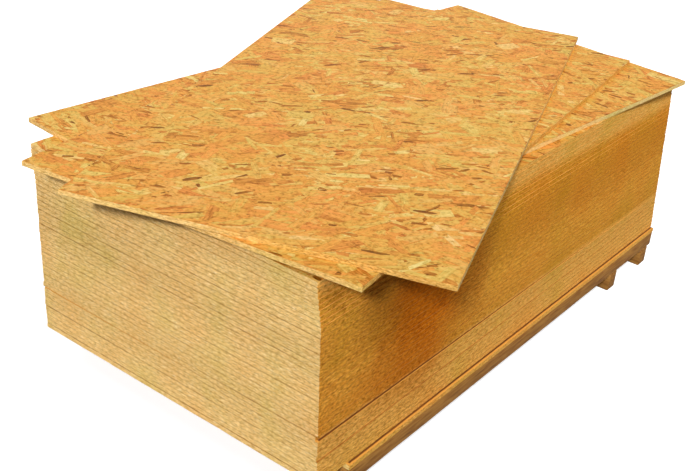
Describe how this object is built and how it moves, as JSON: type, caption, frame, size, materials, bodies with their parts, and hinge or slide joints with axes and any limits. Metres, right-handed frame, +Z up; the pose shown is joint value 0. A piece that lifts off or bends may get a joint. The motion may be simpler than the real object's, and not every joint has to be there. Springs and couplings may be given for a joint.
{
  "type": "stack of osb panels",
  "caption": "Pack of oriented strand board sheets on a timber base of long boards and cross bearers, with loose sheets of the same board lying askew on top.",
  "frame": {"origin": "on the floor, under the middle of the whole stack's outline", "axes": "+X along the pack's length, +Y across its width, +Z up; as stored it stands on a level floor"},
  "size_m": [2.8278, 2.0094, 0.9332],
  "materials": {
    "osb_loose": "pressed strands, matt, golden yellow with reddish and pale strands",
    "osb_pack": "sawn board edges, matt, tan",
    "osb_base": "pressed strands, matt",
    "softwood": "rough sawn, weathered brown"
  },
  "bodies": {
    "root": {"base_sheet": "osb_base", "bearer_far": "softwood", "bearer_inner": "softwood", "bearer_near": "softwood", "long_board_left": "softwood", "long_board_middle": "softwood", "long_board_right": "softwood", "loose_sheet_lower": "osb_loose", "loose_sheet_middle": "osb_loose", "loose_sheet_top": "osb_loose", "sheet_01": "osb_pack", "sheet_02": "osb_pack", "sheet_03": "osb_pack", "sheet_04": "osb_pack", "sheet_05": "osb_pack", "sheet_06": "osb_pack", "sheet_07": "osb_pack", "sheet_08": "osb_pack", "sheet_09": "osb_pack", "sheet_10": "osb_pack", "sheet_11": "osb_pack", "sheet_12": "osb_pack", "sheet_13": "osb_pack", "sheet_14": "osb_pack", "sheet_15": "osb_pack", "sheet_16": "osb_pack", "sheet_17": "osb_pack", "sheet_18": "osb_pack", "sheet_19": "osb_pack", "sheet_20": "osb_pack", "sheet_21": "osb_pack", "sheet_22": "osb_pack", "sheet_23": "osb_pack", "sheet_24": "osb_pack", "sheet_25": "osb_pack", "sheet_26": "osb_pack", "sheet_27": "osb_pack", "sheet_28": "osb_pack", "sheet_29": "osb_pack", "sheet_30": "osb_pack", "sheet_31": "osb_pack", "sheet_32": "osb_pack", "sheet_33": "osb_pack", "sheet_34": "osb_pack", "sheet_35": "osb_pack", "sheet_36": "osb_pack", "sheet_37": "osb_pack", "sheet_38": "osb_pack", "sheet_39": "osb_pack"}
  },
  "joints": []
}
